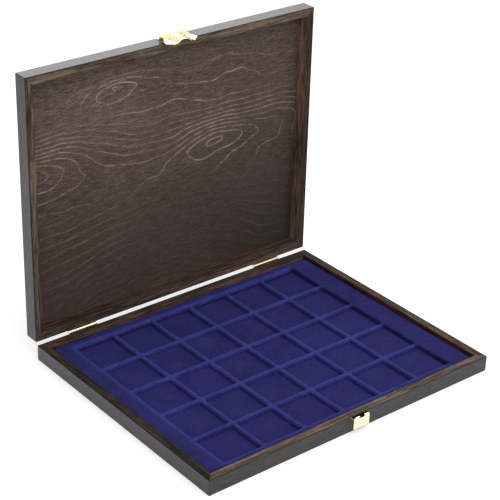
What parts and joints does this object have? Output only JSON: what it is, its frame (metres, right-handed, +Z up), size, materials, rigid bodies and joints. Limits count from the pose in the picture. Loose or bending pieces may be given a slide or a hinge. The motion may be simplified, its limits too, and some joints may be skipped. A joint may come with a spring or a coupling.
{
  "type": "coin presentation case",
  "caption": "Shallow dark wooden presentation case with a hinged lid, a sprung brass clasp and a lift-out blue velour tray of square compartments for coins.",
  "frame": {"origin": "centre of the base's underside", "axes": "+X along the hinge line, +Y from the clasp to the hinges, +Z up; the lid stands open"},
  "size_m": [0.305, 0.2683, 0.2661],
  "materials": {
    "stained_wood": "satin",
    "lid_board": "satin",
    "base_board": "satin",
    "velour": "matte",
    "brass": "gloss"
  },
  "bodies": {
    "base": {"base_front_rail": "stained_wood", "base_back_rail": "stained_wood", "base_left_rail": "stained_wood", "base_right_rail": "stained_wood", "base_panel": "base_board", "left_hinge_base_leaf": "brass", "right_hinge_base_leaf": "brass", "left_hinge_pin": "brass", "right_hinge_pin": "brass", "base_hinge_nails": "brass", "catch_box": "brass", "catch_nails": "brass"},
    "lid": {"lid_front_rail": "stained_wood", "lid_back_rail": "stained_wood", "lid_left_rail": "stained_wood", "lid_right_rail": "stained_wood", "lid_panel": "lid_board", "left_hinge_lid_leaf": "brass", "right_hinge_lid_leaf": "brass", "lid_hinge_nails": "brass", "latch_plate": "brass", "latch_pin": "brass", "latch_nails": "brass"},
    "latch": {"latch_lever": "brass"},
    "tray": {"coin_tray": "velour"}
  },
  "joints": [
    {"name": "lid_hinge", "type": "hinge", "parent": "base", "child": "lid", "pos_m": [0, 0.12415, 0.0146], "axis": [1, 0, 0], "range_deg": [0, 90.3]},
    {"name": "latch_press", "type": "hinge", "parent": "lid", "child": "latch", "pos_m": [0, 0.13376, 0.2642], "axis": [1, 0, 0], "range_deg": [0, 2], "stiffness_Nm_per_rad": 0.3, "springref_deg": -2.86},
    {"name": "tray_lift", "type": "slide", "parent": "base", "child": "tray", "axis": [0, 0, 1], "range_m": [0, 0.012]}
  ]
}
